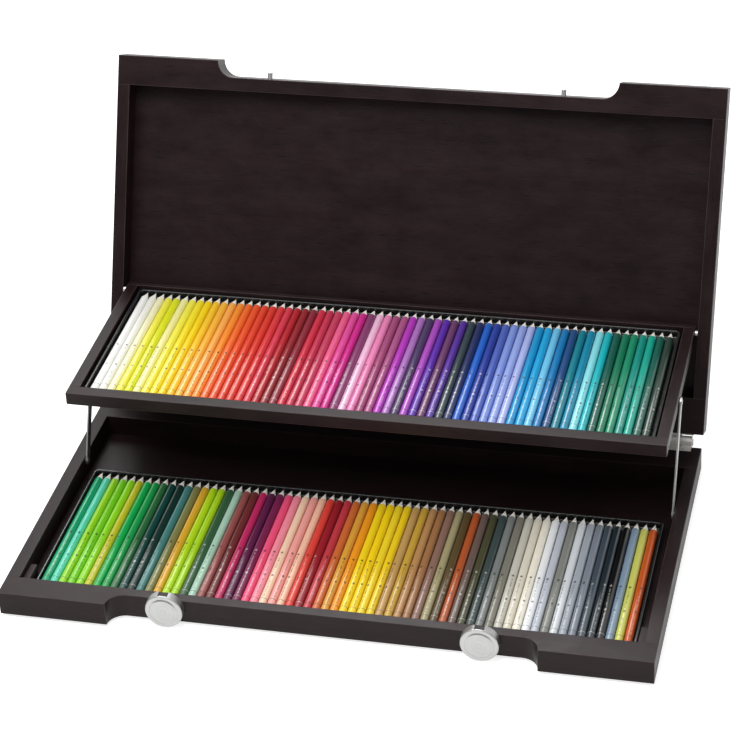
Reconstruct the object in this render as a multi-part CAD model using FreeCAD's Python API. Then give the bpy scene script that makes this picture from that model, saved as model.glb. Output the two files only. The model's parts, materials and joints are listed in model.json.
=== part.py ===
import FreeCAD, Part
import math
import os

# Folding wooden case for two rows of colour pencils, modelled open.
# The base holds one tin of pencils. A second tin lies in a tray that two lift arms
# and the lid carry up and back as the lid opens, always level.
# Millimetres. X runs to the right, Y to the rear, Z up. Places are worked out from the
# middle of the base's footprint, and the finished pieces are then moved so that the origin
# is the middle of the underside of the open case's box, in the plane of the feet.

# Pencils and tins
PENCIL_D = 7.6
PENCIL_L = 175.0
PENCIL_GAP = 0.45
PENCIL_CONE_L = 10.0
PENCIL_LEAD_L = 3.4
PENCIL_LEAD_D = 2.6
PENCIL_POINT_D = 0.8
PENCIL_END_ROUND = 0.5
LOWER_ROWS = (("greens", 13), ("golds", 5), ("roses", 12), ("reds", 5), ("yellows", 8), ("browns", 10),
              ("greys", 13))
UPPER_ROWS = (("yellows", 9), ("oranges", 6), ("reds", 8), ("pinks", 11), ("violets", 10), ("blues", 13),
              ("greens", 7))
TIN_H = 7.5
TIN_T = 0.5
TIN_RIM_W = 2.6
TIN_RIM_H = 1.2
TIN_RIM_ROUND = 0.4
TIN_CORNER_R = 5.4
TIN_END_PLAY = 0.4
LOWER_TIN_PLAY = 1.25
UPPER_TIN_PLAY = 2.3

# Base and lid
SIDE_RAIL_W = 12.0
REAR_RAIL_W = 34.0
BASE_FRONT_RAIL_W = 10.0
LID_FRONT_RAIL_W = 12.5
CORNER_W = 99.0
RECESS = 15.5
LID_H = 25.0
PART_GAP = 0.3
BASE_PANEL_T = 3.0
LID_PANEL_T = 5.0
PANEL_LAP = 5.0
LOWER_TIN_SIDE_GAP = 8.5
LOWER_TIN_FRONT_GAP = 10.0
REAR_WELL_D = 69.5
EDGE_ROUND = 0.7
FOOT_H = 3.0
FOOT_D = 14.0
FOOT_INSET = 13.0
FOOT_EDGE_SHARE = 0.2
KNOB_FLOOR_CLEAR = 1.2

# Upper tray
TRAY_FRONT_RAIL_W = 12.5
TRAY_REAR_RAIL_W = 4.6
TRAY_PANEL_T = 2.0
TRAY_PANEL_LAP = 3.0
TRAY_LIP = 3.0
UPPER_TIN_SIDE_GAP = 2.0
UPPER_TIN_END_GAP = 0.75
TRAY_SIDE_GAP = 3.0
TRAY_FRONT_CLEAR = 7.7
TRAY_PIVOT_RISE = 2.7
TRAY_REST_W = 6.5
TRAY_REST_L = 28.0
TRAY_REST_GAP = 0.3

# Hinges
LID_OPEN_DEG = 114.0
HINGE_BACK = 7.5
HINGE_L = 50.0
HINGE_END_INSET = 9.6
BARREL_D = 11.8
HINGE_PIN_D = 4.0
HINGE_PIN_HEAD_D = 6.4
HINGE_PIN_HEAD_L = 1.0
LEAF_T = 2.0
BASE_LEAF_W = 7.4
LID_LEAF_H = 17.0
KNUCKLES = 5
KNUCKLE_GAP = 0.3
KNUCKLE_CLEAR = 0.8
HINGE_SCREW_D = 2.4
HINGE_SCREW_HEAD_D = 4.4
HINGE_SCREW_HEAD_L = 1.2
HINGE_SCREW_L = 13.0
HINGE_SCREW_PITCH = 17.0

# Lift arms and their pivots
ARM_W = 9.0
ARM_T = 1.3
ARM_WALL_CLEAR = 0.8
ARM_PIVOT_AHEAD = 109.0
ARM_PIVOT_DROP = 5.0
PIVOT_AHEAD_OF_TRAY_REAR = 7.3
PIVOT_UNDER_TRAY_TOP = 4.0
PIN_D = 3.0
PIN_SET = 8.0
PIN_HEAD_D = 5.6
PIN_HEAD_T = 0.5
RUNNING_FIT = 0.05
OPEN_PIVOT_FIT = 0.25

# Turning knobs and the lid's locking pegs
KNOB_D = 34.0
KNOB_L = 8.6
KNOB_CLEAR = 0.3
KNOB_X = 140.0
KNOB_RIM_W = 3.1
KNOB_FACE_T = 1.8
KNOB_HUB_D = 11.0
KNOB_EDGE_ROUND = 0.9
KNOB_GROOVE_IN = 2.0
KNOB_GROOVE_W = 0.8
KNOB_GROOVE_T = 0.5
NOTCH_W = 8.7
PEG_D = 4.8
PEG_OUT = 6.5
PEG_SET = 7.0
PEG_RISE = 3.0
PEG_CLEAR = 0.4
PEG_ROUND = 0.8
SPINDLE_D = 5.0
SPINDLE_SET = 4.5
SPINDLE_TAIL = 5.0
BUSH_WALL = 1.5
BUSH_FLANGE_W = 2.0
BUSH_FLANGE_T = 0.8
CLIP_T = 0.8
CLIP_W = 2.0
CLIP_GROOVE = 0.4
CLIP_GAP = 0.3

# Sizes that follow
PITCH = PENCIL_D + PENCIL_GAP
LOWER_COUNT = sum(count for name, count in LOWER_ROWS)
UPPER_COUNT = sum(count for name, count in UPPER_ROWS)
TIN_D = PENCIL_L + 2 * (TIN_END_PLAY + TIN_RIM_W)
LOWER_TIN_W = LOWER_COUNT * PITCH + 2 * (LOWER_TIN_PLAY + TIN_RIM_W)
UPPER_TIN_W = UPPER_COUNT * PITCH + 2 * (UPPER_TIN_PLAY + TIN_RIM_W)
INNER_X = LOWER_TIN_W / 2 + LOWER_TIN_SIDE_GAP
CASE_X = INNER_X + SIDE_RAIL_W
CASE_D = (RECESS + BASE_FRONT_RAIL_W + LOWER_TIN_FRONT_GAP + TIN_D + REAR_WELL_D + REAR_RAIL_W)
FRONT_Y = -CASE_D / 2
REAR_Y = CASE_D / 2
RECESS_Y = FRONT_Y + RECESS
BASE_INNER_FRONT_Y = RECESS_Y + BASE_FRONT_RAIL_W
LID_INNER_FRONT_Y = RECESS_Y + LID_FRONT_RAIL_W
INNER_REAR_Y = REAR_Y - REAR_RAIL_W
# The knobs reach from just above the ground to round the lid's pegs, and so set the base's height.
KNOB_R = KNOB_D / 2
KNOB_CUP_R = KNOB_R - KNOB_RIM_W
PEG_ORBIT = KNOB_CUP_R - PEG_CLEAR - PEG_D / 2
BASE_H = KNOB_FLOOR_CLEAR + KNOB_R + PEG_ORBIT - PEG_RISE - PART_GAP - FOOT_H
PART_Z = FOOT_H + BASE_H
LID_LOW_Z = PART_Z + PART_GAP
LID_TOP_Z = LID_LOW_Z + LID_H
FLOOR_Z = FOOT_H + BASE_PANEL_T
LOWER_TIN_FRONT_Y = BASE_INNER_FRONT_Y + LOWER_TIN_FRONT_GAP

HINGE_Y = REAR_Y + HINGE_BACK
HINGE_Z = PART_Z
HINGE_X = CASE_X - HINGE_END_INSET - HINGE_L / 2
BARREL_R = BARREL_D / 2

TRAY_H = TRAY_PANEL_T + TIN_H + TRAY_LIP
TRAY_D = TRAY_FRONT_RAIL_W + TIN_D + 2 * UPPER_TIN_END_GAP + TRAY_REAR_RAIL_W
TRAY_X = INNER_X - TRAY_SIDE_GAP
TRAY_INNER_X = UPPER_TIN_W / 2 + UPPER_TIN_SIDE_GAP
TRAY_SHUT_FRONT_Y = BASE_INNER_FRONT_Y + TRAY_FRONT_CLEAR
LID_PIVOT_SHUT_Y = TRAY_SHUT_FRONT_Y + TRAY_D - PIVOT_AHEAD_OF_TRAY_REAR
LID_PIVOT_SHUT_Z = LID_LOW_Z + TRAY_PIVOT_RISE
TRAY_SHUT_Z = LID_PIVOT_SHUT_Z + PIVOT_UNDER_TRAY_TOP - TRAY_H
LINK_Y = LID_PIVOT_SHUT_Y - HINGE_Y
LINK_Z = LID_PIVOT_SHUT_Z - HINGE_Z
ARM_L = math.hypot(LINK_Y, LINK_Z)
ARM_OPEN_DEG = math.degrees(math.atan2(LINK_Z, LINK_Y)) - LID_OPEN_DEG
OPEN_LINK_Y = ARM_L * math.cos(math.radians(ARM_OPEN_DEG))
OPEN_LINK_Z = ARM_L * math.sin(math.radians(ARM_OPEN_DEG))
ARM_PIVOT_Y = HINGE_Y - ARM_PIVOT_AHEAD
ARM_PIVOT_Z = HINGE_Z - ARM_PIVOT_DROP
ARM_TOP_Y = ARM_PIVOT_Y + OPEN_LINK_Y
ARM_TOP_Z = ARM_PIVOT_Z + OPEN_LINK_Z
ARM_OUT_X = INNER_X - ARM_WALL_CLEAR
ARM_IN_X = ARM_OUT_X - ARM_T
TRAY_FRONT_Y = TRAY_SHUT_FRONT_Y + OPEN_LINK_Y - LINK_Y
TRAY_LOW_Z = TRAY_SHUT_Z + OPEN_LINK_Z - LINK_Z
TRAY_FLOOR_Z = TRAY_LOW_Z + TRAY_PANEL_T
TRAY_TOP_Z = TRAY_LOW_Z + TRAY_H
TRAY_REAR_Y = TRAY_FRONT_Y + TRAY_D
TRAY_INNER_FRONT_Y = TRAY_FRONT_Y + TRAY_FRONT_RAIL_W
UPPER_TIN_FRONT_Y = TRAY_INNER_FRONT_Y + UPPER_TIN_END_GAP

KNOB_Z = LID_LOW_Z + PEG_RISE - PEG_ORBIT
KNOB_REAR_Y = RECESS_Y - KNOB_CLEAR
KNOB_FRONT_Y = KNOB_REAR_Y - KNOB_L
KNOB_CUP_Y = KNOB_FRONT_Y + KNOB_FACE_T
PEG_Z = LID_LOW_Z + PEG_RISE
SPINDLE_R = SPINDLE_D / 2
BUSH_R = SPINDLE_R + BUSH_WALL
CLIP_Y = BASE_INNER_FRONT_Y + BUSH_FLANGE_T + CLIP_GAP

SIDES = ((-1, "left"), (1, "right"))


def vec(x, y, z):
    return FreeCAD.Vector(x, y, z)


def block(x0, x1, y0, y1, z0, z1):
    return Part.makeBox(x1 - x0, y1 - y0, z1 - z0, vec(x0, y0, z0))


def rod_x(radius, x0, x1, y, z):
    return Part.makeCylinder(radius, x1 - x0, vec(x0, y, z), vec(1, 0, 0))


def rod_y(radius, x, y0, y1, z):
    return Part.makeCylinder(radius, y1 - y0, vec(x, y0, z), vec(0, 1, 0))


def rod_z(radius, x, y, z0, z1):
    return Part.makeCylinder(radius, z1 - z0, vec(x, y, z0), vec(0, 0, 1))


def group(solids):
    return Part.makeCompound([solid for shape in solids for solid in shape.Solids])


def joined(*shapes):
    whole = shapes[0]
    for shape in shapes[1:]:
        whole = whole.fuse(shape)
    return whole.removeSplitter()


def eased(shape, keep, radius=EDGE_ROUND):
    """Rounds each edge whose two end points both pass the test."""
    edges = [edge for edge in shape.Edges if all(keep(vertex.Point) for vertex in edge.Vertexes)]
    return shape.makeFillet(radius, edges)


def opened(shape):
    """Swings a piece of the closed lid back to where it stands open."""
    turned = shape.copy()
    turned.rotate(vec(0, HINGE_Y, HINGE_Z), vec(1, 0, 0), -LID_OPEN_DEG)
    return turned


def on_plane(value, place):
    return abs(value - place) < EDGE_ROUND / 2


# Rails of the base and the lid

def front_rail(inner_y, z0, z1):
    """A rail whose middle is set back behind two corner blocks, with hollow quarter rounds."""
    step_x = CASE_X - CORNER_W
    bend = RECESS * math.sqrt(0.5)
    points = [vec(-CASE_X, FRONT_Y, z0), vec(-step_x, FRONT_Y, z0), vec(-step_x + RECESS, RECESS_Y, z0),
              vec(step_x - RECESS, RECESS_Y, z0), vec(step_x, FRONT_Y, z0), vec(CASE_X, FRONT_Y, z0),
              vec(CASE_X, inner_y, z0), vec(-CASE_X, inner_y, z0)]
    left_bend = vec(-step_x + RECESS - bend, FRONT_Y + bend, z0)
    right_bend = vec(step_x - RECESS + bend, FRONT_Y + bend, z0)
    edges = [Part.makeLine(points[0], points[1]),
             Part.Arc(points[1], left_bend, points[2]).toShape(),
             Part.makeLine(points[2], points[3]),
             Part.Arc(points[3], right_bend, points[4]).toShape()]
    for start, end in zip(points[4:], points[5:] + points[:1]):
        edges.append(Part.makeLine(start, end))
    face = Part.Face(Part.Wire(edges))
    return face.extrude(vec(0, 0, z1 - z0))


def rear_rail(z0, z1):
    return block(-CASE_X, CASE_X, INNER_REAR_Y, REAR_Y, z0, z1)


def side_rail(side, front_y, z0, z1):
    inner, outer = sorted((side * INNER_X, side * CASE_X))
    return block(inner, outer, front_y, INNER_REAR_Y, z0, z1)


def panel(front_y, z0, z1):
    """A thin board let into rabbets that run round the rails."""
    edge_x = INNER_X + PANEL_LAP
    return block(-edge_x, edge_x, front_y - PANEL_LAP, INNER_REAR_Y + PANEL_LAP, z0, z1)


def base_panel():
    return panel(BASE_INNER_FRONT_Y, FOOT_H, FLOOR_Z)


def lid_panel():
    return panel(LID_INNER_FRONT_Y, LID_TOP_Z - LID_PANEL_T, LID_TOP_Z)


def base_front_rail():
    rail = front_rail(BASE_INNER_FRONT_Y, FOOT_H, PART_Z)
    rail = eased(rail, lambda point: point.y < BASE_INNER_FRONT_Y - EDGE_ROUND)
    for side, name in SIDES:
        rail = rail.cut(rod_y(BUSH_R, side * KNOB_X, FRONT_Y, BASE_INNER_FRONT_Y, KNOB_Z))
    return rail.cut(base_panel())


def base_rear_rail():
    rail = eased(rear_rail(FOOT_H, PART_Z), lambda point: on_plane(point.y, REAR_Y))
    for shape in hinge_base_leaves() + hinge_base_screws():
        rail = rail.cut(shape)
    return rail.cut(base_panel())


def base_side_rail(side):
    rail = side_rail(side, BASE_INNER_FRONT_Y, FOOT_H, PART_Z)
    rail = rail.cut(base_panel())
    return rail.cut(arm_pivot_screw(side))


def lid_front_rail():
    rail = front_rail(LID_INNER_FRONT_Y, LID_LOW_Z, LID_TOP_Z)
    rail = eased(rail, lambda point: point.y < LID_INNER_FRONT_Y - EDGE_ROUND)
    for side, name in SIDES:
        rail = rail.cut(lid_peg(side))
    return rail.cut(lid_panel())


def lid_rear_rail():
    rail = eased(rear_rail(LID_LOW_Z, LID_TOP_Z), lambda point: on_plane(point.y, REAR_Y))
    for shape in hinge_lid_screws():
        rail = rail.cut(shape)
    return rail.cut(lid_panel())


def lid_side_rail(side):
    rail = side_rail(side, LID_INNER_FRONT_Y, LID_LOW_Z, LID_TOP_Z)
    rail = rail.cut(lid_panel())
    return rail.cut(tray_pivot_pin(side))


def feet():
    """Four round pads, set back so that the knobs hang clear of the table."""
    pads = []
    for x in (-CASE_X + FOOT_INSET + FOOT_D / 2, CASE_X - FOOT_INSET - FOOT_D / 2):
        for y in (FRONT_Y + FOOT_INSET, REAR_Y - FOOT_INSET):
            pad = rod_z(FOOT_D / 2, x, y, 0, FOOT_H)
            rim = [edge for edge in pad.Edges
                   if len(edge.Vertexes) == 1 and on_plane(edge.Vertexes[0].Point.z, 0)]
            pads.append(pad.makeChamfer(FOOT_H * FOOT_EDGE_SHARE, rim))
    return pads


def tray_rests():
    """Strips in the base's front corners, under the closed tray."""
    strips = []
    for side, name in SIDES:
        inner, outer = sorted((side * INNER_X, side * (INNER_X - TRAY_REST_W)))
        strips.append(block(inner, outer, BASE_INNER_FRONT_Y, BASE_INNER_FRONT_Y + TRAY_REST_L,
                            FLOOR_Z, TRAY_SHUT_Z - TRAY_REST_GAP))
    return strips


# Tins and pencils

def rounded_slab(half_x, y0, y1, z0, z1, corner):
    slab = block(-half_x, half_x, y0, y1, z0, z1)
    posts = [edge for edge in slab.Edges
             if abs(edge.Vertexes[0].Point.z - edge.Vertexes[1].Point.z) > TIN_T / 2]
    return slab.makeFillet(corner, posts)


def tin(width, front_y, floor_z):
    """A shallow pressed tray with a rolled rim that stands out round its top."""
    half_x = width / 2
    rear_y = front_y + TIN_D
    top_z = floor_z + TIN_H
    turn = TIN_RIM_W - TIN_T
    inner_corner = TIN_CORNER_R - TIN_RIM_W
    rim = rounded_slab(half_x, front_y, rear_y, top_z - TIN_RIM_H, top_z, TIN_CORNER_R)
    crown = [edge for edge in rim.Edges if all(on_plane(vertex.Point.z, top_z) for vertex in edge.Vertexes)]
    rim = rim.makeFillet(TIN_RIM_ROUND, crown)
    shell = rounded_slab(half_x - turn, front_y + turn, rear_y - turn, floor_z, top_z - TIN_RIM_H,
                         TIN_CORNER_R - turn)
    hollow = rounded_slab(half_x - TIN_RIM_W, front_y + TIN_RIM_W, rear_y - TIN_RIM_W,
                          floor_z + TIN_T, top_z + TIN_T, inner_corner)
    return joined(rim, shell).cut(hollow)


def pencil():
    """One round pencil along Y, its painted end at the origin and its point to the rear."""
    radius = PENCIL_D / 2
    cone_y = PENCIL_L - PENCIL_CONE_L
    lead_y = PENCIL_L - PENCIL_LEAD_L
    points = [vec(0, 0, 0), vec(radius - PENCIL_END_ROUND, 0, 0), vec(radius, PENCIL_END_ROUND, 0),
              vec(radius, cone_y, 0), vec(PENCIL_LEAD_D / 2, lead_y, 0),
              vec(PENCIL_POINT_D / 2, PENCIL_L, 0), vec(0, PENCIL_L, 0)]
    face = Part.Face(Part.makePolygon(points + points[:1]))
    return face.revolve(vec(0, 0, 0), vec(0, 1, 0), 360)


def pencil_rows(rows, tin_front_y, floor_z):
    """The pencils of one tin, side by side from the left, as one list for each colour family."""
    count = sum(number for name, number in rows)
    first_x = -(count - 1) * PITCH / 2
    y = tin_front_y + TIN_RIM_W + TIN_END_PLAY
    z = floor_z + TIN_T + PENCIL_D / 2
    master = pencil()
    families = []
    index = 0
    for name, number in rows:
        family = []
        for step in range(number):
            family.append(master.translated(vec(first_x + index * PITCH, y, z)))
            index += 1
        families.append((name, family))
    return families


# Hinges

def knuckle_spans(left_x):
    """The knuckles' places along the barrel: even ones on the base, odd ones on the lid."""
    step = HINGE_L / KNUCKLES
    spans = []
    for number in range(KNUCKLES):
        start = left_x + number * step
        spans.append((start + KNUCKLE_GAP / 2, start + step - KNUCKLE_GAP / 2))
    return spans


def hinge_base_leaves():
    """Leaves let flush into the top of the base's rear rail, with their knuckles."""
    leaves = []
    for side, name in SIDES:
        left_x = side * HINGE_X - HINGE_L / 2
        leaf = block(left_x, left_x + HINGE_L, REAR_Y - BASE_LEAF_W, REAR_Y, PART_Z - LEAF_T, PART_Z)
        for start, end in knuckle_spans(left_x)[0::2]:
            web = block(start, end, REAR_Y - LEAF_T, HINGE_Y, HINGE_Z - LEAF_T, HINGE_Z)
            leaf = leaf.fuse(web).fuse(rod_x(BARREL_R, start, end, HINGE_Y, HINGE_Z))
        for start, end in knuckle_spans(left_x)[0::2]:
            leaf = leaf.cut(rod_x(HINGE_PIN_D / 2, start, end, HINGE_Y, HINGE_Z))
        for shape in hinge_base_screws():
            leaf = leaf.cut(shape)
        leaves.append(leaf.removeSplitter())
    return leaves


def hinge_lid_leaves():
    """Leaves flat on the lid's rear face, cut clear round the base's knuckles."""
    leaves = []
    low_z = HINGE_Z + BARREL_R + KNUCKLE_CLEAR
    for side, name in SIDES:
        left_x = side * HINGE_X - HINGE_L / 2
        leaf = block(left_x, left_x + HINGE_L, REAR_Y, REAR_Y + LEAF_T, low_z, LID_LOW_Z + LID_LEAF_H)
        for start, end in knuckle_spans(left_x)[1::2]:
            web = block(start, end, REAR_Y, REAR_Y + LEAF_T, LID_LOW_Z, low_z)
            shoulder = block(start, end, REAR_Y, HINGE_Y, HINGE_Z + BARREL_R - LEAF_T, HINGE_Z + BARREL_R)
            leaf = leaf.fuse(web).fuse(shoulder).fuse(rod_x(BARREL_R, start, end, HINGE_Y, HINGE_Z))
        for start, end in knuckle_spans(left_x)[1::2]:
            leaf = leaf.cut(rod_x(HINGE_PIN_D / 2 + RUNNING_FIT, start, end, HINGE_Y, HINGE_Z))
        for shape in hinge_lid_screws():
            leaf = leaf.cut(shape)
        leaves.append(leaf.removeSplitter())
    return leaves


def hinge_pins():
    """Pins held by the base's knuckles, with a low head at each end."""
    pins = []
    for side, name in SIDES:
        spans = knuckle_spans(side * HINGE_X - HINGE_L / 2)
        start = spans[0][0]
        end = spans[-1][1]
        pins.append(joined(
            rod_x(HINGE_PIN_D / 2, start - HINGE_PIN_HEAD_L, end + HINGE_PIN_HEAD_L, HINGE_Y, HINGE_Z),
            rod_x(HINGE_PIN_HEAD_D / 2, start - HINGE_PIN_HEAD_L, start, HINGE_Y, HINGE_Z),
            rod_x(HINGE_PIN_HEAD_D / 2, end, end + HINGE_PIN_HEAD_L, HINGE_Y, HINGE_Z)))
    return pins


def countersunk_screw(place, direction):
    """A flat-headed wood screw whose head is flush with the given place."""
    head = Part.makeCone(HINGE_SCREW_HEAD_D / 2, HINGE_SCREW_D / 2, HINGE_SCREW_HEAD_L, place, direction)
    shank = Part.makeCylinder(HINGE_SCREW_D / 2, HINGE_SCREW_L, place, direction)
    return head.fuse(shank).removeSplitter()


def screw_xs():
    return [side * HINGE_X + step * HINGE_SCREW_PITCH for side, name in SIDES for step in (-1, 0, 1)]


def hinge_base_screws():
    y = REAR_Y - BASE_LEAF_W / 2
    return [countersunk_screw(vec(x, y, PART_Z), vec(0, 0, -1)) for x in screw_xs()]


def hinge_lid_screws():
    low_z = HINGE_Z + BARREL_R + KNUCKLE_CLEAR
    z = (low_z + LID_LOW_Z + LID_LEAF_H) / 2
    return [countersunk_screw(vec(x, REAR_Y + LEAF_T, z), vec(0, -1, 0)) for x in screw_xs()]


# Tray and its linkage

def tray_front_rail():
    rail = block(-TRAY_X, TRAY_X, TRAY_FRONT_Y, TRAY_INNER_FRONT_Y, TRAY_LOW_Z, TRAY_TOP_Z)
    rail = eased(rail, lambda point: on_plane(point.y, TRAY_FRONT_Y))
    return rail.cut(tray_panel())


def tray_rear_rail():
    rail = block(-TRAY_X, TRAY_X, TRAY_REAR_Y - TRAY_REAR_RAIL_W, TRAY_REAR_Y, TRAY_LOW_Z, TRAY_TOP_Z)
    rail = eased(rail, lambda point: on_plane(point.y, TRAY_REAR_Y))
    return rail.cut(tray_panel()).cut(tray_bores())


def tray_side_rail(side):
    inner, outer = sorted((side * TRAY_INNER_X, side * TRAY_X))
    rail = block(inner, outer, TRAY_INNER_FRONT_Y, TRAY_REAR_Y - TRAY_REAR_RAIL_W, TRAY_LOW_Z, TRAY_TOP_Z)
    return rail.cut(tray_panel()).cut(tray_bores()).cut(arm_top_pin(side))


def tray_panel():
    edge_x = TRAY_INNER_X + TRAY_PANEL_LAP
    lap_y = TRAY_REAR_RAIL_W / 2
    return block(-edge_x, edge_x, TRAY_INNER_FRONT_Y - TRAY_PANEL_LAP, TRAY_REAR_Y - lap_y,
                 TRAY_LOW_Z, TRAY_FLOOR_Z)


def lid_pivot_place():
    return HINGE_Y + OPEN_LINK_Y, HINGE_Z + OPEN_LINK_Z


def tray_bores():
    """The tray's bores on the lid's pivot pins, with running clearance."""
    y, z = lid_pivot_place()
    reach = PIN_SET + RUNNING_FIT
    bores = []
    for side, name in SIDES:
        low, high = sorted((side * TRAY_X, side * (TRAY_X - reach)))
        bores.append(rod_x(PIN_D / 2 + RUNNING_FIT, low, high, y, z))
    return Part.makeCompound(bores)


def stepped_pin(side, y, z, outer_x, inner_x, head_low, head_high):
    """A round pin along X with one wider collar on it."""
    low, high = sorted((side * inner_x, side * outer_x))
    collar_low, collar_high = sorted((side * head_low, side * head_high))
    return joined(rod_x(PIN_D / 2, low, high, y, z), rod_x(PIN_HEAD_D / 2, collar_low, collar_high, y, z))


def tray_pivot_pin(side):
    """A pin set in the closed lid's side rail, on which the tray hangs at the rear."""
    return stepped_pin(side, LID_PIVOT_SHUT_Y, LID_PIVOT_SHUT_Z, INNER_X + PIN_SET, TRAY_X - PIN_SET,
                       ARM_IN_X - PIN_HEAD_T, INNER_X)


def arm_pivot_screw(side):
    """A shouldered screw set in the base's side rail, with a spacer collar behind the arm."""
    post = stepped_pin(side, ARM_PIVOT_Y, ARM_PIVOT_Z, INNER_X + PIN_SET, ARM_IN_X - RUNNING_FIT,
                       ARM_OUT_X + RUNNING_FIT, INNER_X)
    low, high = sorted((side * (ARM_IN_X - RUNNING_FIT), side * (ARM_IN_X - RUNNING_FIT - PIN_HEAD_T)))
    return joined(post, rod_x(PIN_HEAD_D / 2, low, high, ARM_PIVOT_Y, ARM_PIVOT_Z))


def arm_top_pin(side):
    """A pin set in the tray's side rail, with a spacer collar and a low head outside the arm."""
    post = stepped_pin(side, ARM_TOP_Y, ARM_TOP_Z, ARM_OUT_X + RUNNING_FIT, TRAY_X - PIN_SET,
                       TRAY_X, ARM_IN_X - RUNNING_FIT)
    low, high = sorted((side * (ARM_OUT_X + RUNNING_FIT), side * (ARM_OUT_X + RUNNING_FIT + PIN_HEAD_T)))
    return joined(post, rod_x(PIN_HEAD_D / 2, low, high, ARM_TOP_Y, ARM_TOP_Z))


def lift_arm(side):
    """A flat bar with round ends, between the base's pivot and the tray's."""
    low, high = sorted((side * ARM_IN_X, side * ARM_OUT_X))
    bar = block(low, high, ARM_PIVOT_Y, ARM_PIVOT_Y + ARM_L,
                ARM_PIVOT_Z - ARM_W / 2, ARM_PIVOT_Z + ARM_W / 2)
    bar = joined(bar, rod_x(ARM_W / 2, low, high, ARM_PIVOT_Y, ARM_PIVOT_Z),
                 rod_x(ARM_W / 2, low, high, ARM_PIVOT_Y + ARM_L, ARM_PIVOT_Z))
    bar = bar.cut(rod_x(PIN_D / 2 + RUNNING_FIT, low, high, ARM_PIVOT_Y, ARM_PIVOT_Z))
    bar = bar.cut(rod_x(PIN_D / 2 + OPEN_PIVOT_FIT, low, high, ARM_PIVOT_Y + ARM_L, ARM_PIVOT_Z))
    bar.rotate(vec(0, ARM_PIVOT_Y, ARM_PIVOT_Z), vec(1, 0, 0), ARM_OPEN_DEG)
    return bar


# Knobs and pegs

def lid_peg(side):
    """A round peg in the closed lid's set-back front, which the knob's cup traps."""
    peg = rod_y(PEG_D / 2, side * KNOB_X, RECESS_Y - PEG_OUT, RECESS_Y + PEG_SET, PEG_Z)
    tip = [edge for edge in peg.Edges
           if len(edge.Vertexes) == 1 and on_plane(edge.Vertexes[0].Point.y, RECESS_Y - PEG_OUT)]
    return peg.makeFillet(PEG_ROUND, tip)


def knob_ring(x, inner, outer, y0, y1):
    return rod_y(outer, x, y0, y1, KNOB_Z).cut(rod_y(inner, x, y0, y1, KNOB_Z))


def knob(side):
    """A turned cup with a hub: a notch in its back edge lets the lid's peg in from above."""
    x = side * KNOB_X
    body = rod_y(KNOB_R, x, KNOB_FRONT_Y, KNOB_REAR_Y, KNOB_Z)
    rims = [edge for edge in body.Edges
            if len(edge.Vertexes) == 1 and on_plane(edge.Vertexes[0].Point.y, KNOB_FRONT_Y)]
    body = body.makeFillet(KNOB_EDGE_ROUND, rims)
    groove_r = KNOB_R - KNOB_GROOVE_IN
    body = body.cut(knob_ring(x, KNOB_HUB_D / 2, KNOB_CUP_R, KNOB_CUP_Y, KNOB_REAR_Y))
    body = body.cut(knob_ring(x, groove_r - KNOB_GROOVE_W, groove_r, KNOB_FRONT_Y,
                              KNOB_FRONT_Y + KNOB_GROOVE_T))
    body = body.cut(block(x - NOTCH_W / 2, x + NOTCH_W / 2, KNOB_CUP_Y, KNOB_REAR_Y,
                          KNOB_Z + KNOB_HUB_D / 2 + PEG_CLEAR, KNOB_Z + KNOB_D))
    return body.cut(knob_spindle(side))


def knob_spindle(side):
    x = side * KNOB_X
    shaft = rod_y(SPINDLE_R, x, KNOB_REAR_Y - SPINDLE_SET, BASE_INNER_FRONT_Y + SPINDLE_TAIL, KNOB_Z)
    return shaft.cut(knob_ring(x, SPINDLE_R - CLIP_GROOVE, KNOB_R, CLIP_Y, CLIP_Y + CLIP_T))


def knob_clip(side):
    return knob_ring(side * KNOB_X, SPINDLE_R - CLIP_GROOVE, SPINDLE_R + CLIP_W, CLIP_Y, CLIP_Y + CLIP_T)


def knob_bush(side):
    x = side * KNOB_X
    tube = knob_ring(x, SPINDLE_R + RUNNING_FIT, BUSH_R, RECESS_Y, BASE_INNER_FRONT_Y)
    flange = knob_ring(x, SPINDLE_R + RUNNING_FIT, BUSH_R + BUSH_FLANGE_W, BASE_INNER_FRONT_Y,
                       BASE_INNER_FRONT_Y + BUSH_FLANGE_T)
    return joined(tube, flange)


def both(maker):
    return group([maker(side) for side, name in SIDES])


def base_nodes():
    nodes = {
        "base_front_rail": base_front_rail(),
        "base_rear_rail": base_rear_rail(),
        "base_bottom_panel": base_panel(),
        "feet": group(feet()),
        "tray_rests": group(tray_rests()),
        "lower_tin": tin(LOWER_TIN_W, LOWER_TIN_FRONT_Y, FLOOR_Z),
        "hinge_base_leaves": group(hinge_base_leaves()),
        "hinge_pins": group(hinge_pins()),
        "hinge_base_screws": group(hinge_base_screws()),
        "knob_bushes": both(knob_bush),
        "arm_pivot_screws": both(arm_pivot_screw),
    }
    for side, name in SIDES:
        nodes["base_%s_rail" % name] = base_side_rail(side)
    for name, family in pencil_rows(LOWER_ROWS, LOWER_TIN_FRONT_Y, FLOOR_Z):
        nodes["lower_pencils_%s" % name] = group(family)
    return nodes


def lid_nodes():
    nodes = {
        "lid_front_rail": lid_front_rail(),
        "lid_rear_rail": lid_rear_rail(),
        "lid_panel": lid_panel(),
        "lid_pegs": both(lid_peg),
        "hinge_lid_leaves": group(hinge_lid_leaves()),
        "hinge_lid_screws": group(hinge_lid_screws()),
        "tray_pivot_pins": both(tray_pivot_pin),
    }
    for side, name in SIDES:
        nodes["lid_%s_rail" % name] = lid_side_rail(side)
    return {name: opened(shape) for name, shape in nodes.items()}


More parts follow.
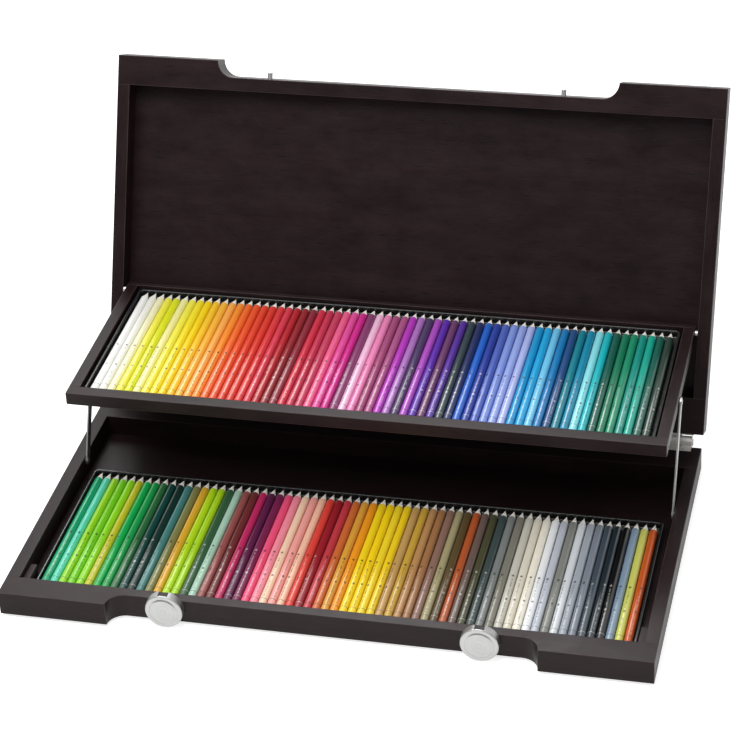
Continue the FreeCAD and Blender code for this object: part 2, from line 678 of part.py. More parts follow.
def tray_nodes():
    nodes = {
        "tray_front_rail": tray_front_rail(),
        "tray_rear_rail": tray_rear_rail(),
        "tray_bottom_panel": tray_panel(),
        "upper_tin": tin(UPPER_TIN_W, UPPER_TIN_FRONT_Y, TRAY_FLOOR_Z),
        "arm_top_pins": both(arm_top_pin),
    }
    for side, name in SIDES:
        nodes["tray_%s_rail" % name] = tray_side_rail(side)
    for name, family in pencil_rows(UPPER_ROWS, UPPER_TIN_FRONT_Y, TRAY_FLOOR_Z):
        nodes["upper_pencils_%s" % name] = group(family)
    return nodes


def moving_nodes():
    nodes = {}
    for side, name in SIDES:
        nodes["lift_arm_%s" % name] = lift_arm(side)
        nodes["knob_%s" % name] = knob(side)
        nodes["knob_spindle_%s" % name] = knob_spindle(side)
        nodes["knob_clip_%s" % name] = knob_clip(side)
    return nodes


def to_origin(nodes):
    """Moves every piece so that the open case stands over the origin, and returns the move."""
    box = Part.makeCompound(list(nodes.values())).optimalBoundingBox(False, False)
    move = -(box.YMin + box.YMax) / 2
    for shape in nodes.values():
        shape.translate(vec(0, move, 0))
    return move


def build():
    os.makedirs("parts", exist_ok=True)
    nodes = {**base_nodes(), **lid_nodes(), **tray_nodes(), **moving_nodes()}
    move = to_origin(nodes)
    for name, shape in nodes.items():
        shape.exportStep("parts/%s.step" % name)
        print("%-24s %3d solids, volume %.0f" % (name, len(shape.Solids), shape.Volume))
    print("case %.1f wide, %.1f deep; feet %.2f high; moved %.4f in Y" % (2 * CASE_X, CASE_D, FOOT_H, move))
    lid_y, lid_z = lid_pivot_place()
    for name, y, z in (("hinge axis", HINGE_Y, HINGE_Z), ("lid pivot", lid_y, lid_z),
                       ("arm pivot", ARM_PIVOT_Y, ARM_PIVOT_Z), ("arm top", ARM_TOP_Y, ARM_TOP_Z),
                       ("tray front", TRAY_FRONT_Y, TRAY_LOW_Z), ("tray rear", TRAY_REAR_Y, TRAY_TOP_Z),
                       ("knob axis", RECESS_Y, KNOB_Z)):
        print("%-12s y %.4f z %.4f" % (name, y + move, z))


build()
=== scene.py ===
"""Folding wooden case with two rows of colour pencils, dressed around the packed frame."""

import json
import math
import random

import bmesh
import bpy
from bpy.props import FloatProperty, FloatVectorProperty, IntProperty, PointerProperty
from mathutils import Matrix, Vector


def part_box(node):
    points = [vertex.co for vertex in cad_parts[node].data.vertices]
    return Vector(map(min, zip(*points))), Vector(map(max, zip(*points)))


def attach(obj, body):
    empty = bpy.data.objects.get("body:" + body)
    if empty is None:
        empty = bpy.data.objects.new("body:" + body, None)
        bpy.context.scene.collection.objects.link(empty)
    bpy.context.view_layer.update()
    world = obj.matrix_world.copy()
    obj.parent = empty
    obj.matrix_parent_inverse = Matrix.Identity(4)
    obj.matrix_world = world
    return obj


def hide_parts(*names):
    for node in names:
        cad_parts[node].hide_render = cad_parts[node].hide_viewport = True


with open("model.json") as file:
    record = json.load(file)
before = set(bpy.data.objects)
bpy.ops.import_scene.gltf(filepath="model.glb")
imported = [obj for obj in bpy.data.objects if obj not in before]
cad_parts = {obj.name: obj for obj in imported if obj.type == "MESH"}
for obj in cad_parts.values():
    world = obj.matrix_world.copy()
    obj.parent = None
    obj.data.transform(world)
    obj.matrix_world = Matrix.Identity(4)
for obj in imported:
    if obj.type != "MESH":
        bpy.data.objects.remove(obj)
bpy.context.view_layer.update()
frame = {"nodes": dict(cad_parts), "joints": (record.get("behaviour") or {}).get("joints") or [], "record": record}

bl_info = {
    "name": "Folding pencil case",
    "version": (1, 0, 0),
    "blender": (4, 5, 0),
    "location": "3D View > Sidebar > Pencil Case",
    "description": "Builds the wooden case, its tins, pencils and metal fittings around the packed frame",
    "category": "Object",
}

MM = 0.001
TOUCH = 0.01 * MM  # points closer than this are one
PAST = 1 * MM  # how far a knife reaches past what it cuts
NODES = frame["nodes"]
RECORD = frame["record"]
BODY_OF = {node: body for body, nodes in RECORD["behaviour"]["bodies"].items() for node in nodes}
SLOT_OF = {part["node"]: part["material_slot"] for part in RECORD["subparts"]}
JOINTS = {joint["name"]: joint for joint in frame["joints"]}

# The lid is drawn shut, where its rails lie square, and then turned back to where it stands open.
HINGE = Vector(JOINTS["lid_hinge"]["pos_m"])
LID_SWING = math.radians(JOINTS["lid_hinge"]["range_deg"][1])
TO_SHUT = Matrix.Translation(HINGE) @ Matrix.Rotation(LID_SWING, 4, "X") @ Matrix.Translation(-HINGE)
TO_OPEN = TO_SHUT.inverted()
STILL = Matrix.Identity(4)

# The lacquers of the pencils from left to right, listed under plain colour names.
LOWER_ROW = {
    "greens": "sea_green #18a06d mint #58d1b0 lime #93d321 grass #79cd20 leaf #8fd922 olive_lime #c1c12a "
              "emerald #12ab4f green #189b4c forest #2b6a3c fir #14453f night_green #18332d lichen #417c78 "
              "olive #7c7e4b",
    "golds": "ochre #d8a72c chartreuse #b4d91e spring #a8d420 moss_grey #345d3d pale_sage #a6cbb4",
    "roses": "russet_rose #95504d oxblood #6f3031 crimson #be2b60 dark_plum #5e2149 plum #792651 "
             "hot_pink #ee537e salmon #f48ea0 peach_cream #f5d0b3 pink #f0a29b pale_peach #f4bea3 "
             "red #e0453b wine #99202b",
    "reds": "brick #c03b45 terracotta #cd6935 honey #da9e3b marigold #ee9920 canary #f4d41f",
    "yellows": "saffron #f6d418 buttercup #f0d42a mustard #efcd20 tan #c0995c old_gold #c7a03d "
               "camel #b78957 cinnamon #a07148 fawn #8b6a5d",
    "browns": "sand_olive #a39972 umber #5a4a2d rust #b2562c cocoa #6a5851 dark_olive #4a4a33 "
              "slate_green #3e4b4b stone #7c8180 stone_olive #7e7c70 oat #c6c4b8 linen #dcd6c6",
    "greys": "ivory #f0eada snow #edeff1 lavender_grey #bcc1cb mouse #82847e silver #d4d8dc cloud #a0a7b0 "
             "slate #7b838f storm #414c57 lead_blue #212c34 black #0e0f10 haze #7e93a8 leaf_gold #c8ca5d "
             "copper #c4551f",
}
UPPER_ROW = {
    "yellows": "white #f4f4f1 milk #f0efe6 cream #f3efc4 lemon #f1ea4c acid #dde21c straw #f2ec9e "
               "lemon #f1ea4c yellow #f4e12a sunflower #f5d516",
    "oranges": "maize #f6c62c amber #f5b53a apricot #f6ab4e orange #f4902e tangerine #ee6b2a "
               "vermilion #e8552a",
    "reds": "scarlet #e0442c poppy #d93a2c geranium #da3a3e cherry #d43a4e carmine #b4232e madder #93262f "
            "garnet #8b2c3a ruby #ce3048",
    "pinks": "raspberry #c43452 coral #c44060 rose #ea5e8d fuchsia #df4d9b magenta #cf278b heather #873d6d "
             "blush #f0bada candy #ea84b7 mallow #a24b78 clover #a95486 orchid #b337b9",
    "violets": "mauve #a96fbb slate_violet #4b3b62 purple #a94bbb violet #5c2aa6 plum_violet #6b3c68 "
               "indigo_violet #553098 pine_grey #34434a navy #25305f blue #2160c4 ultramarine #2b409c",
    "blues": "cornflower #4d63b8 periwinkle #7f95dc pale_periwinkle #93a6e4 ice_violet #aab6ea "
             "cyan #1493cc sky #1aa2d8 pale_sky #6cc2e8 azure #1079b6 prussian #204b80 petrol #107e90 "
             "lagoon #0e87a8 pale_aqua #88dde6 turquoise #14b4bc",
    "greens": "bottle #0f5a4c pine #0f7656 jade #128a66 teal #0e8e80 sea_teal #12a48f bottle #0f5a4c "
              "ivy #283c33",
}


def linear(code):
    """Turns an sRGB hex colour into linear red, green and blue, and full opacity."""
    shares = [int(code[place:place + 2], 16) / 255 for place in (1, 3, 5)]
    return tuple(c / 12.92 if c <= 0.04045 else ((c + 0.055) / 1.055) ** 2.4 for c in shares) + (1.0,)


# Sizes and colours

def number_of(label, about, value, **more):
    return FloatProperty(name=label, description=about, default=value, min=0.0, **more)


def size_of(label, about, millimetres):
    return number_of(label, about, millimetres * MM, precision=5, unit="LENGTH")


def colour_of(label, about, code):
    return FloatVectorProperty(name=label, description=about, default=linear(code), size=4, min=0.0,
                               max=1.0, subtype="COLOR")


class WoodSettings(bpy.types.PropertyGroup):
    """Sizes and colours of the wooden rails and panels."""

    corner: size_of("Corner block", "Length of the corner blocks beside the set-back front", 99.0)
    recess: size_of("Recess", "How far the front is set back, and the radius of its hollow ends", 15.5)
    edge: size_of("Edge", "Radius of the rails' outer edges", 0.7)
    seam: size_of("Seam", "Radius of the edges where two boards meet", 0.12)
    leaf_length: size_of("Hinge pocket length", "Length of the pockets for the hinge leaves", 50.0)
    leaf_width: size_of("Hinge pocket", "Width of the pockets for the hinge leaves", 7.4)
    rest_width: size_of("Tray rest", "Width of the strips that the shut tray lies on", 6.5)
    leaf_depth: size_of("Hinge pocket depth", "Depth of the pockets for the hinge leaves", 2.0)
    stain: colour_of("Stain", "Colour of the stained wood", "#28191b")
    deep_stain: colour_of("Deep stain", "Colour where the wood took more stain", "#1a0f11")
    pore: colour_of("Pores", "Colour of the open pores", "#0d0708")


class TinSettings(bpy.types.PropertyGroup):
    """Sizes and colour of the pressed tins."""

    wall: size_of("Wall", "Thickness of the sheet", 0.5)
    rim: size_of("Rim", "Width of the rolled rim", 2.6)
    rim_height: size_of("Rim height", "Height of the rolled rim", 1.2)
    corner: size_of("Corner", "Outer radius of the tin's corners", 5.4)
    floor_bend: size_of("Floor bend", "Radius of the bend between the wall and the floor", 1.0)
    lacquer: colour_of("Tin lacquer", "Colour of the lacquered tinplate", "#121314")
    # The rim's colour is paler than the lacquer: a painted highlight.
    rim_painted_highlight: colour_of("Rim", "Colour of the rim, where the lacquer is thin", "#1d1f20")


class PencilSettings(bpy.types.PropertyGroup):
    """Sizes and colours of the pencils."""

    length: size_of("Length", "Length of a pencil", 175.0)
    diameter: size_of("Diameter", "Diameter of a pencil", 7.6)
    cone: size_of("Cone", "Length of the sharpened cone", 11.5)
    lead: size_of("Lead", "Length of the bare lead", 3.4)
    lead_diameter: size_of("Lead diameter", "Diameter of the lead", 2.6)
    point: size_of("Point", "Diameter of the lead's tip", 0.8)
    sides: IntProperty(name="Sides", description="Facets round a pencil", default=18, min=6, max=48)
    roll: number_of("Roll", "How far a pencil may be turned on its axis", 0.5, subtype="ANGLE")
    slip: size_of("Slip", "How far a pencil may lie forward or back", 0.3)
    # The cedar is painted nearly white: a painted highlight on the cones.
    painted_pale_cedar: colour_of("Cedar", "Colour of the sharpened wood", "#fffbf2")


class MetalSettings(bpy.types.PropertyGroup):
    """Sizes and colours of the metal fittings."""

    edge: size_of("Edge", "Radius of the small edges", 0.12)
    knob_face: size_of("Knob face", "Thickness of the knob's front", 1.8)
    knob_round: size_of("Knob edge", "Radius of the knob's front edge", 1.3)
    knob_hub: size_of("Knob hub", "Radius of the hub in the knob", 5.5)
    knob_cup: size_of("Knob cup", "Radius of the hollow that traps the lid's peg", 13.9)
    disc: size_of("Disc", "Radius of the raised disc on the knob's face", 12.0)
    disc_slope: size_of("Disc slope", "Width of the disc's sloped edge", 1.3)
    disc_step: size_of("Disc step", "Height of the disc over the knob's rim", 0.8)
    notch: size_of("Notch", "Width of the notch that lets the lid's peg in", 8.7)
    screw_head: size_of("Screw head", "Radius of the hinge screws' heads", 2.2)
    screw_shank: size_of("Screw shank", "Radius of the hinge screws' shanks", 1.2)
    screw_length: size_of("Screw length", "Length of the hinge screws", 13.0)
    screw_taper: size_of("Screw taper", "Height of the countersunk head", 1.2)
    aluminium: colour_of("Aluminium", "Colour of the turned aluminium", "#c3c3c2")
    nickel: colour_of("Nickel", "Colour of the nickel plate", "#e8e6e1")
    steel: colour_of("Steel", "Colour of the brushed steel", "#d2d3d3")


class StageSettings(bpy.types.PropertyGroup):
    """Floor, light and camera."""

    key: number_of("Key", "Power of the large soft lamp overhead", 38.0, unit="POWER")
    back: number_of("Back", "Power of the lamp behind, which lights along the pencils", 17.0, unit="POWER")
    sky: number_of("Sky", "Level of the light from all round", 0.46)
    dim: number_of("Room", "Level of the room in front in polished surfaces", 0.08)
    floor: colour_of("Floor", "Colour of the floor", "#dcdcdc")


GROUPS = {"wood": WoodSettings, "tin": TinSettings, "pencil": PencilSettings, "metal": MetalSettings,
          "stage": StageSettings}


class CaseSettings(bpy.types.PropertyGroup):
    """All the settings of the pencil case."""

    __annotations__ = {name: PointerProperty(type=group, name=name.capitalize(), description=group.__doc__)
                       for name, group in GROUPS.items()}


def settings(group):
    return getattr(bpy.context.scene.pencil_case, group)


# Materials

def add(tree, kind, inputs=None, **values):
    """Adds a node, sets its values and its sockets, and links the sockets whose value is a node's."""
    made = tree.nodes.new(kind)
    for name, value in values.items():
        setattr(made, name, value)
    for name, value in (inputs or {}).items():
        socket = made.inputs[name]
        if isinstance(value, bpy.types.Node):
            value = value.outputs[0]
        if isinstance(value, bpy.types.NodeSocket):
            tree.links.new(value, socket)
        else:
            socket.default_value = value
    return made


def maths(tree, operation, *values):
    return add(tree, "ShaderNodeMath", dict(enumerate(values)), operation=operation)


def noise(tree, place, scale=1.0, detail=2.0, **more):
    return add(tree, "ShaderNodeTexNoise", {"Vector": place, "Scale": scale, "Detail": detail, **more})


def ranged(tree, value, low, high, start=0.0, end=1.0):
    """Carries a value over from one range to another, and holds it there."""
    return add(tree, "ShaderNodeMapRange", {"Value": value, "From Min": start, "From Max": end,
                                            "To Min": low, "To Max": high})


def blend(tree, share, first, second, kind="MIX"):
    """Mixes two colours by a share."""
    return add(tree, "ShaderNodeMix", {0: share, "A": first, "B": second}, data_type="RGBA",
               blend_type=kind).outputs["Result"]


def shaded(tree, colour, pattern, low, high, start=0.3, end=0.7):
    """The colour, made darker and lighter by a pattern."""
    return blend(tree, 1.0, colour, ranged(tree, pattern, low, high, start, end), "MULTIPLY")


def bumpy(tree, height, strength, depth):
    """A relief of a depth in millimetres."""
    return add(tree, "ShaderNodeBump", {"Strength": strength, "Distance": depth * MM, "Height": height})


def attribute(tree, name):
    return add(tree, "ShaderNodeAttribute", attribute_name=name)


def along(tree, name="grain"):
    """The piece's own coordinates in millimetres, with X along its grain."""
    return add(tree, "ShaderNodeVectorMath", {0: attribute(tree, name).outputs["Vector"], "Scale": 1 / MM},
               operation="SCALE")


def stretched(tree, place, length, width):
    """Coordinates in which one step is length along the grain and width across it, in millimetres."""
    return add(tree, "ShaderNodeMapping", {"Vector": place, "Scale": (1 / length, 1 / width, 1 / width)})


def empty_tree(block):
    """The node tree of a new material or world, with nothing in it."""
    block.use_nodes = True
    block.node_tree.nodes.clear()
    return block.node_tree


def shine(tree, colour, roughness, **more):
    """Ends a material in its surface shader; an underscore in a name stands for a space."""
    inputs = {name.replace("_", " "): value for name, value in more.items()}
    shader = add(tree, "ShaderNodeBsdfPrincipled", {"Base Color": colour, "Roughness": roughness, **inputs})
    add(tree, "ShaderNodeOutputMaterial", {"Surface": shader})


def stained_open_pored_wood(tree):
    # Ash or a like open-pored wood, planed, stained nearly black-brown and rubbed with satin lacquer: a dark
    # brown body in long soft bands, short darker pores along the grain, and a dull sheen that lights up where
    # it is seen at a low angle.
    wood = settings("wood")
    place = along(tree)
    bands = noise(tree, stretched(tree, place, 210, 22), detail=4.0, Roughness=0.6, Distortion=0.6)
    cloud = noise(tree, stretched(tree, place, 46, 24), detail=6.0, Roughness=0.66)
    # Pores of a real board are 0.2 mm wide; they are drawn 1.1 mm wide so that they show in the picture.
    pores = noise(tree, stretched(tree, place, 15, 1.1))
    fibre = noise(tree, stretched(tree, place, 34, 2.6), detail=3.0, Roughness=0.55)
    tone = add(tree, "ShaderNodeMix", {0: 0.6, "A": bands, "B": cloud}, data_type="FLOAT")
    body = blend(tree, ranged(tree, tone, 0.0, 1.0, 0.34, 0.66), wood.deep_stain, wood.stain)
    body = shaded(tree, body, fibre, 0.9, 1.08)
    open_pore = ranged(tree, pores, 1.0, 0.0, 0.33, 0.43)
    body = blend(tree, maths(tree, "MULTIPLY", open_pore, 0.75), body, wood.pore)
    # Rounded edges are painted a little paler: partly rubbed wear, partly a painted highlight.
    edge_wear_and_highlight = maths(tree, "MULTIPLY", attribute(tree, "edge").outputs["Fac"], cloud)
    body = blend(tree, edge_wear_and_highlight, body, linear("#4a3e3d"))
    height = maths(tree, "MULTIPLY_ADD", open_pore, -1.0, fibre)
    shine(tree, body, ranged(tree, cloud, 0.3, 0.42, 0.3, 0.7), Normal=bumpy(tree, height, 0.3, 0.1),
          Specular_IOR_Level=0.22)


def dark_lacquered_tinplate(tree):
    # Tinplate, pressed, with a nearly black satin lacquer: an even dull tone, a faint orange peel, and a rim
    # painted paler over the roll as a painted highlight.
    tin = settings("tin")
    place = along(tree)
    cloud = noise(tree, place, 0.08, 4.0)
    peel = noise(tree, place, 0.7)
    body = blend(tree, attribute(tree, "edge").outputs["Fac"], tin.lacquer, tin.rim_painted_highlight)
    shine(tree, shaded(tree, body, cloud, 0.85, 1.1), ranged(tree, cloud, 0.2, 0.32),
          Normal=bumpy(tree, peel, 0.15, 0.05), Coat_Weight=0.3, Coat_Roughness=0.2)


def metal(tree, colour, roughness, line, depth, lining="grain"):
    """A metal with fine lines along the piece's grain, line millimetres wide and 40 times as long."""
    place = along(tree, lining)
    lines = noise(tree, stretched(tree, place, line * 40, line))
    cloud = noise(tree, place, 0.15, 3.0)
    rough = ranged(tree, cloud, roughness - 0.05, roughness + 0.06, 0.3, 0.7)
    shine(tree, shaded(tree, colour, lines, 0.9, 1.05), rough, Normal=bumpy(tree, lines, 0.25, depth),
          Metallic=1.0)


def turned_satin_aluminium(tree):
    # Aluminium, faced and turned on a lathe, then satin anodised: bright silver-white with fine rings round
    # the axis, drawn 0.5 mm apart so that they show.
    metal(tree, settings("metal").aluminium, 0.38, 0.5, 0.008, "turning")


def nickel_plated_steel(tree):
    # Steel pressings with satin nickel plate: a warm silver with broad soft glints.
    metal(tree, settings("metal").nickel, 0.52, 0.8, 0.01)


def brushed_strip_steel(tree):
    # Cold-rolled steel strip, brushed along its length: a grey silver with fine straight lines.
    metal(tree, settings("metal").steel, 0.4, 0.45, 0.02)


def moulded_black_rubber(tree):
    # Natural rubber, moulded: a dull black with a fine leathery grain, drawn 0.8 mm coarse.
    grain = noise(tree, along(tree), 1.2, 3.0)
    shine(tree, blend(tree, grain, linear("#1b1b1b"), linear("#2a2a29")), 0.72,
          Normal=bumpy(tree, grain, 0.3, 0.08))


def moulded_black_nylon(tree):
    # Nylon, injection moulded: black with a soft sheen and a faint flow pattern.
    flow = noise(tree, along(tree), 0.6)
    shine(tree, blend(tree, flow, linear("#161616"), linear("#242424")), ranged(tree, flow, 0.38, 0.5))


def gloss_lacquered_cedar(tree):
    # Round cedar pencils: several coats of gloss lacquer over the barrel, with a thin foil ring near the flat
    # end, two ovals and a row of small foil marks, dark on paler lacquers and silver on dark ones. The
    # sharpened cone is bare cedar, matt and a little fuzzy, with fine lines, painted nearly white as a painted
    # highlight. The lead is chalky, in the lacquer's colour painted much paler, the same painted highlight.
    pencil = settings("pencil")
    unwrapped = add(tree, "ShaderNodeUVMap", uv_map="UVMap")
    parts = add(tree, "ShaderNodeSeparateXYZ", {0: unwrapped})
    lacquer = attribute(tree, "lacquer").outputs["Color"]
    own = attribute(tree, "own").outputs["Fac"]
    length = pencil.length / MM
    # Places in millimetres from the flat end; widths round the barrel in turns, from its upper side at 0.5.
    turned = parts.outputs["X"]
    place = maths(tree, "MULTIPLY", parts.outputs["Y"], length)
    ring_place, ring_half = 8.6, 0.45
    speck, line_half = 0.62, 0.024
    run_middle, run_apart, run_half = 42.0, 18.0, 13.0
    oval_middle, oval_apart, oval_radius, oval_squeeze = 59.0, 17.0, 1.45, 31.0
    ring_share, oval_share, speck_share = 0.65, 0.85, 0.62
    ring = maths(tree, "COMPARE", place, ring_place, ring_half)
    # Specks of uneven length in a narrow line, in two runs; each pencil's own number shuffles them.
    count = maths(tree, "FLOOR", maths(tree, "DIVIDE", place, speck))
    seed = maths(tree, "MULTIPLY_ADD", own, 97.0, count)
    chance = add(tree, "ShaderNodeTexWhiteNoise", {"W": seed}, noise_dimensions="1D")
    dash = maths(tree, "LESS_THAN", chance, 0.5)
    off_middle = maths(tree, "ABSOLUTE", maths(tree, "SUBTRACT", place, run_middle))
    in_run = maths(tree, "COMPARE", off_middle, run_apart, run_half)
    in_line = maths(tree, "COMPARE", turned, 0.5, line_half)
    specks = maths(tree, "MULTIPLY", maths(tree, "MULTIPLY", dash, in_run), in_line)
    # Two plain ovals.
    across = maths(tree, "MULTIPLY", maths(tree, "SUBTRACT", turned, 0.5), oval_squeeze)
    ahead = maths(tree, "ABSOLUTE", maths(tree, "SUBTRACT", place, oval_middle))
    ahead = maths(tree, "SUBTRACT", ahead, oval_apart)
    away = add(tree, "ShaderNodeCombineXYZ", {0: across, 1: ahead})
    away = add(tree, "ShaderNodeVectorMath", {0: away}, operation="LENGTH")
    oval = maths(tree, "LESS_THAN", away.outputs["Value"], oval_radius)
    ring = maths(tree, "MULTIPLY", ring, ring_share)
    forms = maths(tree, "MAXIMUM", ring, maths(tree, "MULTIPLY", oval, oval_share))
    foil = maths(tree, "MAXIMUM", forms, maths(tree, "MULTIPLY", specks, speck_share))
    # The ring and the ovals turn dark on lacquers on which the specks are still silver.
    limit = ranged(tree, maths(tree, "GREATER_THAN", forms, 0.1), 0.27, 0.11)
    pale = maths(tree, "GREATER_THAN", add(tree, "ShaderNodeRGBToBW", {0: lacquer}), limit)
    foil_share = maths(tree, "MULTIPLY", foil, ranged(tree, pale, 0.6, 0.95))
    barrel = shaded(tree, lacquer, noise(tree, unwrapped, 9.0), 0.94, 1.04, 0.0, 1.0)
    barrel = blend(tree, foil_share, barrel, blend(tree, pale, linear("#d0cec6"), linear("#33302a")))
    # Cedar lines run up the cone, 0.5 mm apart at its foot.
    lines = noise(tree, add(tree, "ShaderNodeMapping", {"Vector": unwrapped, "Scale": (46.0, 14.0, 1.0)}))
    # The cone's cedar is painted nearly white and the lead much paler than its lacquer: a painted highlight.
    painted_pale_cedar = blend(tree, lines, linear("#fdf2de"), pencil.painted_pale_cedar)
    painted_pale_lead = blend(tree, 0.75, lacquer, linear("#fffaf0"))
    on_cone = maths(tree, "GREATER_THAN", place, length - pencil.cone / MM + 0.1)
    on_lead = maths(tree, "GREATER_THAN", place, length - pencil.lead / MM)
    colour = blend(tree, on_lead, blend(tree, on_cone, barrel, painted_pale_cedar), painted_pale_lead)
    shine(tree, colour, ranged(tree, on_cone, 0.24, 0.7), Coat_Roughness=0.3, Sheen_Roughness=0.5,
          Specular_IOR_Level=ranged(tree, on_cone, 0.6, 0.04), Coat_Weight=ranged(tree, on_cone, 0.35, 0.0),
          Sheen_Weight=on_cone)


FINISHES = {}
MAKERS = {
    "stained_wood": stained_open_pored_wood, "lacquered_tinplate": dark_lacquered_tinplate,
    "nickelled_steel": nickel_plated_steel, "brushed_steel": brushed_strip_steel,
    "turned_aluminium": turned_satin_aluminium, "nylon_bush": moulded_black_nylon,
    "rubber_foot": moulded_black_rubber, "lacquer": gloss_lacquered_cedar,
}


def finish(slot):
    """The material for a slot of the record, named after its maker; all the pencils share one."""
    kind = "lacquer" if slot.startswith("lacquer_") else slot
    if kind not in FINISHES:
        FINISHES[kind] = bpy.data.materials.new(MAKERS[kind].__name__)
        MAKERS[kind](empty_tree(FINISHES[kind]))
    return FINISHES[kind]


# Mesh tools

def mesh_from(bm, name):
    mesh = bpy.data.meshes.new(name)
    bm.to_mesh(mesh)
    bm.free()
    return mesh


def new_object(name, data):
    made = bpy.data.objects.new(name, data)
    bpy.context.scene.collection.objects.link(made)
    return made


def discard(obj):
    """Removes a working object and its mesh."""
    mesh = obj.data
    bpy.data.objects.remove(obj)
    bpy.data.meshes.remove(mesh)


def settled(obj, name):
    """The evaluated object as a plain mesh with no modifiers; the working object is removed."""
    bpy.context.view_layer.update()
    graph = bpy.context.evaluated_depsgraph_get()
    mesh = bpy.data.meshes.new_from_object(obj.evaluated_get(graph))
    mesh.name = name
    discard(obj)
    return mesh


def store(mesh, name, values, kind="FLOAT_VECTOR", domain="POINT"):
    """Adds an attribute to a mesh and fills it."""
    layer = mesh.attributes.new(name, kind, domain)
    if kind == "FLOAT":
        layer.data.foreach_set("value", values)
    else:
        field = "color" if kind == "FLOAT_COLOR" else "vector"
        layer.data.foreach_set(field, [share for value in values for share in value])


def arc_points(x, y, radius, steps, start, end):
    """Points on an arc about (x, y), from one angle in degrees to another."""
    angles = [math.radians(start + (end - start) * number / steps) for number in range(steps + 1)]
    return [(x + radius * math.cos(angle), y + radius * math.sin(angle)) for angle in angles]


def prism_into(bm, outline, z0, z1):
    """Adds a closed upright prism over an outline that runs counter-clockwise."""
    low = [bm.verts.new((x, y, z0)) for x, y in outline]
    high = [bm.verts.new((x, y, z1)) for x, y in outline]
    bm.faces.new(low[::-1])
    bm.faces.new(high)
    for number in range(len(outline)):
        after = (number + 1) % len(outline)
        bm.faces.new((low[number], low[after], high[after], high[number]))


def box_into(bm, lo, hi):
    """Adds a closed box between two corners."""
    prism_into(bm, [(lo[0], lo[1]), (hi[0], lo[1]), (hi[0], hi[1]), (lo[0], hi[1])], lo[2], hi[2])


def lathe_into(bm, profile, sides, uv=None):
    """Turns a profile of (radius, place) about the Y axis; a radius of zero closes it."""
    rings = []
    for radius, place in profile:
        if radius < TOUCH / 10:
            ring = [bm.verts.new((0.0, place, 0.0))] * sides
        else:
            angles = [2 * math.pi * number / sides for number in range(sides)]
            ring = [bm.verts.new((-radius * math.sin(angle), place, -radius * math.cos(angle)))
                    for angle in angles]
        rings.append((ring, place))
    end = profile[-1][1]
    for (low, start), (high, stop) in zip(rings, rings[1:]):
        for number in range(sides):
            after = (number + 1) % sides
            u0, u1 = number / sides, (number + 1) / sides
            corners = [(low[number], u0, start), (low[after], u1, start), (high[after], u1, stop),
                       (high[number], u0, stop)]
            if low[number] == low[after]:
                corners[:2] = [(low[number], (u0 + u1) / 2, start)]
            elif high[number] == high[after]:
                corners[2:] = [(high[number], (u0 + u1) / 2, stop)]
            face = bm.faces.new([corner[0] for corner in corners])
            if uv is not None:
                for loop, (vertex, round_share, place) in zip(face.loops, corners):
                    loop[uv].uv = (round_share, place / end)


def smooth(bm):
    for face in bm.faces:
        face.smooth = True


def cut(mesh, name, boxes):
    """Cuts boxes out of a mesh and returns the result."""
    knife = bmesh.new()
    for lo, hi in boxes:
        box_into(knife, lo, hi)
    tool = new_object(name + "_knife", mesh_from(knife, name + "_knife"))
    work = new_object(name + "_work", mesh)
    step = work.modifiers.new("cut", "BOOLEAN")
    step.operation = "DIFFERENCE"
    step.solver = "EXACT"
    step.object = tool
    result = settled(work, name)
    discard(tool)
    return result


def inside(point, lo, hi):
    return all(a - TOUCH <= c <= b + TOUCH for a, c, b in zip(lo, point, hi))


def bevelled(mesh, name, width, segments, **limits):
    """Rounds edges, and shades the large faces flat up to them."""
    work = new_object(name + "_work", mesh)
    bevel = work.modifiers.new("round", "BEVEL")
    bevel.width = width
    bevel.segments = segments
    for label, value in limits.items():
        setattr(bevel, label, value)
    work.modifiers.new("shade", "WEIGHTED_NORMAL").keep_sharp = True
    return settled(work, name)


def rounded(mesh, name, width, segments, seam_share=1.0, seams=()):
    """Rounds every sharp edge, and those whose middle lies in a seam's box only by a share of that."""
    bm = bmesh.new()
    bm.from_mesh(mesh)
    bpy.data.meshes.remove(mesh)
    bmesh.ops.recalc_face_normals(bm, faces=bm.faces)
    weight = bm.edges.layers.float.new("bevel_weight_edge")
    smooth(bm)
    sharp = math.radians(28)
    for edge in bm.edges:
        if edge.is_manifold and edge.calc_face_angle() > sharp:
            middle = (edge.verts[0].co + edge.verts[1].co) / 2
            seam = any(inside(middle, lo, hi) for lo, hi in seams)
            edge[weight] = seam_share if seam else 1.0
    return bevelled(mesh_from(bm, name), name, width, segments, limit_method="WEIGHT",
                    use_clamp_overlap=False)


def write_grain(mesh, turn=STILL, first="X", shift=(0.0, 0.0, 0.0)):
    """Stores each point's place with the grain's direction first, and marks narrow slanted faces as edges."""
    order = {"X": (0, 1, 2), "Y": (1, 0, 2)}[first]
    values = []
    for vertex in mesh.vertices:
        place = turn @ vertex.co
        values.append([place[axis] + shift[number] for number, axis in enumerate(order)])
    store(mesh, "grain", values)
    spin = turn.to_3x3()
    straight, narrow = 0.985, 0.6 * MM
    marks = []
    for face in mesh.polygons:
        square = max(abs(part) for part in spin @ face.normal)
        short = min((mesh.vertices[a].co - mesh.vertices[b].co).length for a, b in face.edge_keys)
        marks.append(1.0 if square < straight and short < narrow else 0.0)
    store(mesh, "edge", marks, "FLOAT", "FACE")


def put(name, mesh, node):
    """Makes a finished piece that stands for a CAD node, on its body and in its slot."""
    piece = new_object(name, mesh)
    mesh.materials.clear()
    mesh.materials.append(finish(SLOT_OF[node]))
    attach(piece, BODY_OF[node])
    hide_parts(node)


# Wooden parts

def both_sides(inner, outer):
    """A stretch along X on the left, as its low and high end, and its mirror image on the right."""
    return ((-outer, -inner), (inner, outer))


def shut_box(node):
    """Lowest and highest corner of one of the lid's nodes with the lid shut."""
    axes = list(zip(*(TO_SHUT @ vertex.co for vertex in NODES[node].data.vertices)))
    return Vector([min(places) for places in axes]), Vector([max(places) for places in axes])


